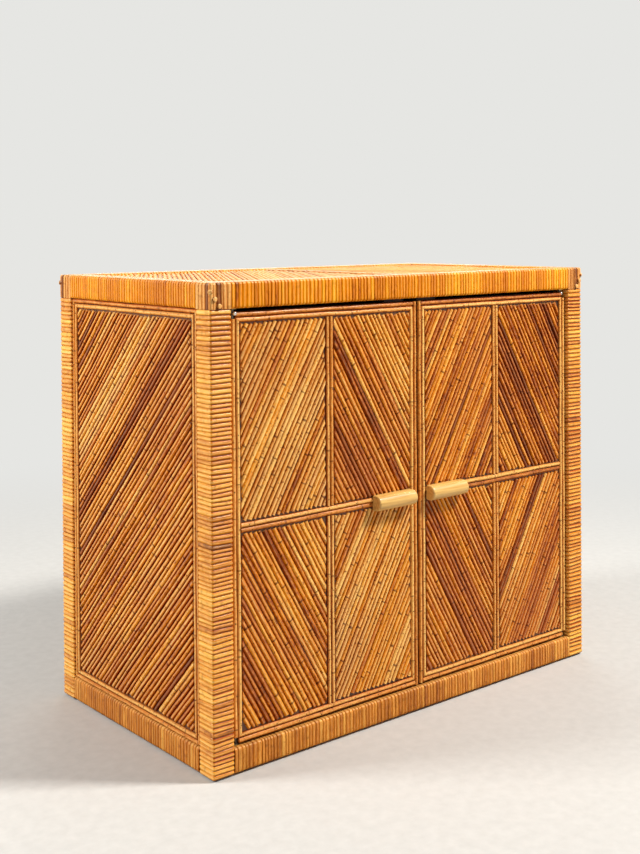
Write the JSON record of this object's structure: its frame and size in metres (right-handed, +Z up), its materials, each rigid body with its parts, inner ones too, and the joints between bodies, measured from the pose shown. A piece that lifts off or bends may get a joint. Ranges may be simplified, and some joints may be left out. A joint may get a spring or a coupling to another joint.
{
  "type": "record cabinet",
  "caption": "Low record cabinet of cane-bound rattan with chevron split-reed doors, sides and top, hinged on pivots, with a record bay and a shelf inside.",
  "frame": {"origin": "middle of the overall box, on the floor", "axes": "+Z up, +X to the right of someone who faces the doors, doors face -Y"},
  "size_m": [0.77, 0.426, 0.66],
  "materials": {
    "cane_binding": "flat peel, satin varnish",
    "split_reed": "varnished split rattan",
    "border_strip": "varnished split rattan",
    "rattan_peg": "varnished rattan pole",
    "core_timber": "planed",
    "plywood": "satin varnish",
    "dowel_timber": "plain",
    "pale_handle": "satin varnish",
    "pin_steel": "bright",
    "plate_steel": "zinc plated",
    "bush_brass": "satin",
    "screw_steel": "yellow zinc",
    "catch_plastic": "brown",
    "glide_plastic": "dark"
  },
  "bodies": {
    "carcass": {"back_panel": "plywood", "back_panel_screws": "screw_steel", "bottom_rail_back": "core_timber", "bottom_rail_front": "core_timber", "bottom_rail_left": "core_timber", "bottom_rail_right": "core_timber", "bottom_rail_wrap_back": "cane_binding", "bottom_rail_wrap_front": "cane_binding", "bottom_rail_wrap_left": "cane_binding", "bottom_rail_wrap_right": "cane_binding", "corner_pegs": "rattan_peg", "deck": "plywood", "foot_glides": "glide_plastic", "frame_dowels": "dowel_timber", "magnetic_catches": "catch_plastic", "pivot_bushes": "bush_brass", "post_back_left": "core_timber", "post_back_right": "core_timber", "post_caps": "cane_binding", "post_front_left": "core_timber", "post_front_right": "core_timber", "post_wrap_back_left": "cane_binding", "post_wrap_back_right": "cane_binding", "post_wrap_front_left": "cane_binding", "post_wrap_front_right": "cane_binding", "shelf": "plywood", "shelf_cleats": "core_timber", "side_panel_left": "plywood", "side_panel_right": "plywood", "side_reeds_left": "split_reed", "side_reeds_right": "split_reed", "side_trim_left": "border_strip", "side_trim_right": "border_strip", "top_battens": "core_timber", "top_panel": "plywood", "top_rail_back": "core_timber", "top_rail_front": "core_timber", "top_rail_left": "core_timber", "top_rail_right": "core_timber", "top_rail_wrap_back": "cane_binding", "top_rail_wrap_front": "cane_binding", "top_rail_wrap_left": "cane_binding", "top_rail_wrap_right": "cane_binding", "top_reeds": "split_reed", "top_trim": "border_strip"},
    "door_left": {"catch_strike_left": "plate_steel", "door_handle_left": "pale_handle", "door_panel_left": "plywood", "door_reeds_left": "split_reed", "door_trim_left": "border_strip", "handle_screws_left": "screw_steel", "pivot_pins_left": "pin_steel"},
    "door_right": {"catch_strike_right": "plate_steel", "door_handle_right": "pale_handle", "door_panel_right": "plywood", "door_reeds_right": "split_reed", "door_trim_right": "border_strip", "handle_screws_right": "screw_steel", "pivot_pins_right": "pin_steel"}
  },
  "joints": [
    {"name": "door_left_hinge", "type": "hinge", "parent": "carcass", "child": "door_left", "pos_m": [-0.3395, -0.189, 0.33025], "axis": [0, 0, -1], "range_deg": [0, 95]},
    {"name": "door_right_hinge", "type": "hinge", "parent": "carcass", "child": "door_right", "pos_m": [0.3395, -0.189, 0.33025], "axis": [0, 0, 1], "range_deg": [0, 95]}
  ]
}
